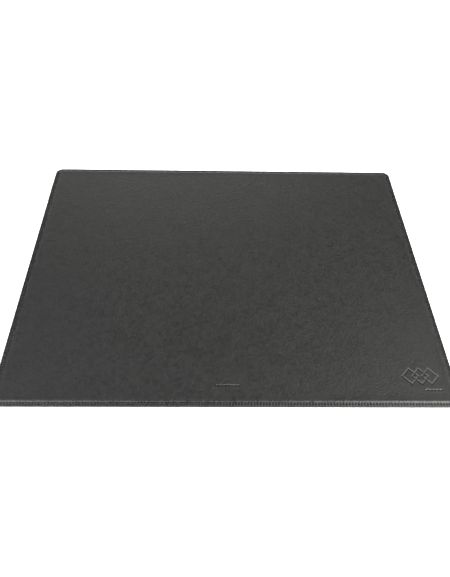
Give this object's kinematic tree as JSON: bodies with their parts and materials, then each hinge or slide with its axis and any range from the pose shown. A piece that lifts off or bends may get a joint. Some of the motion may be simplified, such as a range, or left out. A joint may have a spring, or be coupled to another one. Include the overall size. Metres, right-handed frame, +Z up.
{
  "type": "desk mat",
  "caption": "Flat stitched leather desk mat on a stiff board, with a sewn border, a low raised rim and a non-slip backing sheet.",
  "frame": {"origin": "centre of the underside, on the surface that the mat lies on", "axes": "+X along the width, to the right of a person at the desk; +Y away from the person; +Z up out of the writing surface"},
  "size_m": [0.6, 0.5, 0.0044],
  "materials": {
    "leather": "satin",
    "thread": "satin",
    "backing": "matte",
    "fleece": "matte",
    "board": "matte"
  },
  "bodies": {
    "root": {"backing_sheet": "backing", "stiffener_board": "board", "padding_fleece": "fleece", "top_leather": "leather", "outer_needle_thread": "thread", "inner_needle_thread": "thread", "outer_bobbin_thread": "thread", "inner_bobbin_thread": "thread"}
  },
  "joints": []
}
